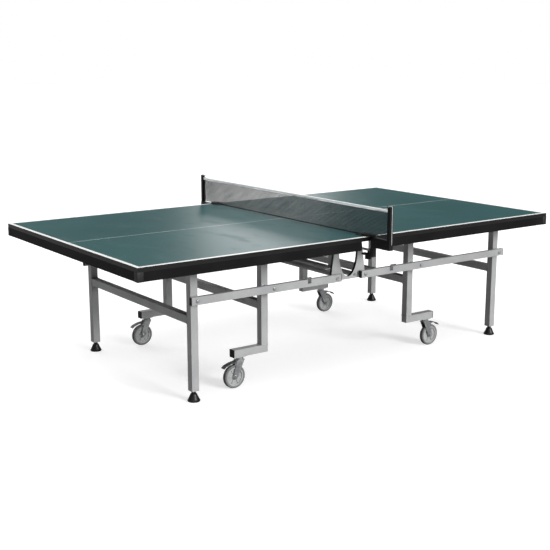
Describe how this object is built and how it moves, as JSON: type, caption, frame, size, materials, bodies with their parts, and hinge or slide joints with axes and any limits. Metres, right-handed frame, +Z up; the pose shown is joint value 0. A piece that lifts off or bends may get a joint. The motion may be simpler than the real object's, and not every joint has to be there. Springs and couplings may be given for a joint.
{
  "type": "ping pong table",
  "caption": "Indoor ping pong table with a split top, folding rollaway undercarriage on braked casters, levelling feet and a clamped net.",
  "frame": {"origin": "on the floor under the middle of the net", "axes": "+X along the table towards the right half, +Y across it from the front side to the rear side, +Z up"},
  "size_m": [2.74, 1.825, 0.9326],
  "materials": {
    "board": "satin coated board",
    "apron": "satin black",
    "brace": "matt black",
    "silver_frame": "silver grey powder coat",
    "zinc": "zinc plated",
    "cap": "black moulded plastic",
    "foot_rubber": "black moulded plastic",
    "hub": "light grey moulded plastic",
    "tyre": "grey rubber",
    "pedal": "dark grey",
    "black_steel": "black powder coat",
    "net": "knotted netting",
    "tape": "white woven tape",
    "cord": "white braided cord"
  },
  "bodies": {
    "caster_frame_left": {"left_caster_posts": "silver_frame", "left_caster_arms": "silver_frame", "left_caster_crossbar": "silver_frame"},
    "half_left": {"left_board": "board", "left_aprons": "apron", "left_braces": "brace", "left_hinge_brackets": "zinc", "left_hinge_pins": "zinc"},
    "centre_bracket": {"side_plates": "silver_frame", "plate_ties": "silver_frame", "rail_bolts": "zinc", "net_carrier": "silver_frame", "net_clamps": "black_steel", "net_posts": "black_steel", "net": "net", "net_tape": "tape", "net_cords": "cord"},
    "half_right": {"right_board": "board", "right_aprons": "apron", "right_braces": "brace", "right_hinge_brackets": "zinc", "right_hinge_pins": "zinc"},
    "caster_frame_right": {"right_caster_posts": "silver_frame", "right_caster_arms": "silver_frame", "right_caster_crossbar": "silver_frame"},
    "rails_left": {"left_rails": "silver_frame", "left_rail_caps": "cap"},
    "leg_frame_left": {"left_legs": "silver_frame", "left_leg_crossbar": "silver_frame"},
    "catches_left": {"left_rail_catches": "zinc"},
    "rails_right": {"right_rails": "silver_frame", "right_rail_caps": "cap"},
    "leg_frame_right": {"right_legs": "silver_frame", "right_leg_crossbar": "silver_frame"},
    "catches_right": {"right_rail_catches": "zinc"},
    "foot_left_front": {"left_front_foot": "foot_rubber"},
    "caster_left_front": {"left_front_caster_fork": "zinc"},
    "wheel_left_front": {"left_front_wheel_hub": "hub", "left_front_tyre": "tyre"},
    "brake_left_front": {"left_front_brake_pedal": "pedal"},
    "foot_left_rear": {"left_rear_foot": "foot_rubber"},
    "caster_left_rear": {"left_rear_caster_fork": "zinc"},
    "wheel_left_rear": {"left_rear_wheel_hub": "hub", "left_rear_tyre": "tyre"},
    "brake_left_rear": {"left_rear_brake_pedal": "pedal"},
    "foot_right_front": {"right_front_foot": "foot_rubber"},
    "caster_right_front": {"right_front_caster_fork": "zinc"},
    "wheel_right_front": {"right_front_wheel_hub": "hub", "right_front_tyre": "tyre"},
    "brake_right_front": {"right_front_brake_pedal": "pedal"},
    "foot_right_rear": {"right_rear_foot": "foot_rubber"},
    "caster_right_rear": {"right_rear_caster_fork": "zinc"},
    "wheel_right_rear": {"right_rear_wheel_hub": "hub", "right_rear_tyre": "tyre"},
    "brake_right_rear": {"right_rear_brake_pedal": "pedal"},
    "screw_front": {"front_clamp_screw": "black_steel"},
    "screw_rear": {"rear_clamp_screw": "black_steel"}
  },
  "joints": [
    {"name": "fold", "type": "hinge", "parent": "caster_frame_left", "child": "half_left", "pos_m": [-0.482, 0, 0.731], "axis": [0, 1, 0], "range_deg": [0, 86]},
    {"name": "centre_hinge_left", "type": "hinge", "parent": "half_left", "child": "centre_bracket", "pos_m": [-0.07, 0, 0.731], "axis": [0, -1, 0], "range_deg": [0, 86]},
    {"name": "centre_hinge_right", "type": "hinge", "parent": "centre_bracket", "child": "half_right", "pos_m": [0.07, 0, 0.731], "axis": [0, -1, 0], "range_deg": [0, 86]},
    {"name": "caster_frame_hinge_right", "type": "hinge", "parent": "half_right", "child": "caster_frame_right", "pos_m": [0.482, 0, 0.731], "axis": [0, 1, 0], "range_deg": [0, 86]},
    {"name": "rail_hinge_left", "type": "hinge", "parent": "centre_bracket", "child": "rails_left", "pos_m": [-0.098, 0, 0.52], "axis": [0, 1, 0], "range_deg": [0, 86]},
    {"name": "rail_hinge_right", "type": "hinge", "parent": "centre_bracket", "child": "rails_right", "pos_m": [0.098, 0, 0.52], "axis": [0, -1, 0], "range_deg": [0, 86]},
    {"name": "leg_hinge_left", "type": "hinge", "parent": "half_left", "child": "leg_frame_left", "pos_m": [-0.937, 0, 0.731], "axis": [0, -1, 0], "range_deg": [0, 86]},
    {"name": "leg_hinge_right", "type": "hinge", "parent": "half_right", "child": "leg_frame_right", "pos_m": [1.125, 0, 0.731], "axis": [0, 1, 0], "range_deg": [0, 86]},
    {"name": "foot_turn_left_front", "type": "hinge", "parent": "leg_frame_left", "child": "foot_left_front", "pos_m": [-0.965, -0.548, 0], "axis": [0, 0, 1], "continuous": true},
    {"name": "swivel_left_front", "type": "hinge", "parent": "caster_frame_left", "child": "caster_left_front", "pos_m": [-0.656, -0.494, 0.15], "axis": [0, 0, 1], "continuous": true},
    {"name": "wheel_spin_left_front", "type": "hinge", "parent": "caster_left_front", "child": "wheel_left_front", "pos_m": [-0.69, -0.494, 0.0625], "axis": [0, 1, 0], "continuous": true},
    {"name": "brake_press_left_front", "type": "hinge", "parent": "caster_left_front", "child": "brake_left_front", "pos_m": [-0.686, -0.494, 0.135], "axis": [0, -1, 0], "range_deg": [0, 6]},
    {"name": "foot_turn_left_rear", "type": "hinge", "parent": "leg_frame_left", "child": "foot_left_rear", "pos_m": [-0.965, 0.548, 0], "axis": [0, 0, 1], "continuous": true},
    {"name": "swivel_left_rear", "type": "hinge", "parent": "caster_frame_left", "child": "caster_left_rear", "pos_m": [-0.656, 0.494, 0.15], "axis": [0, 0, 1], "continuous": true},
    {"name": "wheel_spin_left_rear", "type": "hinge", "parent": "caster_left_rear", "child": "wheel_left_rear", "pos_m": [-0.69, 0.494, 0.0625], "axis": [0, 1, 0], "continuous": true},
    {"name": "brake_press_left_rear", "type": "hinge", "parent": "caster_left_rear", "child": "brake_left_rear", "pos_m": [-0.686, 0.494, 0.135], "axis": [0, -1, 0], "range_deg": [0, 6]},
    {"name": "catch_lift_left", "type": "hinge", "parent": "rails_left", "child": "catches_left", "pos_m": [-0.285, 0, 0.526], "axis": [0, 1, 0], "range_deg": [0, 20]},
    {"name": "foot_turn_right_front", "type": "hinge", "parent": "leg_frame_right", "child": "foot_right_front", "pos_m": [1.153, -0.548, 0], "axis": [0, 0, 1], "continuous": true},
    {"name": "swivel_right_front", "type": "hinge", "parent": "caster_frame_right", "child": "caster_right_front", "pos_m": [0.656, -0.494, 0.15], "axis": [0, 0, 1], "continuous": true},
    {"name": "wheel_spin_right_front", "type": "hinge", "parent": "caster_right_front", "child": "wheel_right_front", "pos_m": [0.69, -0.494, 0.0625], "axis": [0, 1, 0], "continuous": true},
    {"name": "brake_press_right_front", "type": "hinge", "parent": "caster_right_front", "child": "brake_right_front", "pos_m": [0.686, -0.494, 0.135], "axis": [0, 1, 0], "range_deg": [0, 6]},
    {"name": "foot_turn_right_rear", "type": "hinge", "parent": "leg_frame_right", "child": "foot_right_rear", "pos_m": [1.153, 0.548, 0], "axis": [0, 0, 1], "continuous": true},
    {"name": "swivel_right_rear", "type": "hinge", "parent": "caster_frame_right", "child": "caster_right_rear", "pos_m": [0.656, 0.494, 0.15], "axis": [0, 0, 1], "continuous": true},
    {"name": "wheel_spin_right_rear", "type": "hinge", "parent": "caster_right_rear", "child": "wheel_right_rear", "pos_m": [0.69, 0.494, 0.0625], "axis": [0, 1, 0], "continuous": true},
    {"name": "brake_press_right_rear", "type": "hinge", "parent": "caster_right_rear", "child": "brake_right_rear", "pos_m": [0.686, 0.494, 0.135], "axis": [0, 1, 0], "range_deg": [0, 6]},
    {"name": "catch_lift_right", "type": "hinge", "parent": "rails_right", "child": "catches_right", "pos_m": [0.285, 0, 0.526], "axis": [0, -1, 0], "range_deg": [0, 20]},
    {"name": "clamp_screw_turn_front", "type": "hinge", "parent": "centre_bracket", "child": "screw_front", "pos_m": [0, -0.7325, 0.645], "axis": [0, 0, 1], "continuous": true},
    {"name": "clamp_screw_turn_rear", "type": "hinge", "parent": "centre_bracket", "child": "screw_rear", "pos_m": [0, 0.7325, 0.645], "axis": [0, 0, 1], "continuous": true}
  ],
  "couplings": [
    {"joint": "centre_hinge_left", "follows": "fold", "ratio": 1},
    {"joint": "centre_hinge_right", "follows": "fold", "ratio": 1},
    {"joint": "caster_frame_hinge_right", "follows": "fold", "ratio": 1},
    {"joint": "rail_hinge_left", "follows": "fold", "ratio": 1},
    {"joint": "rail_hinge_right", "follows": "fold", "ratio": 1},
    {"joint": "leg_hinge_left", "follows": "fold", "ratio": 1},
    {"joint": "leg_hinge_right", "follows": "fold", "ratio": 1}
  ]
}
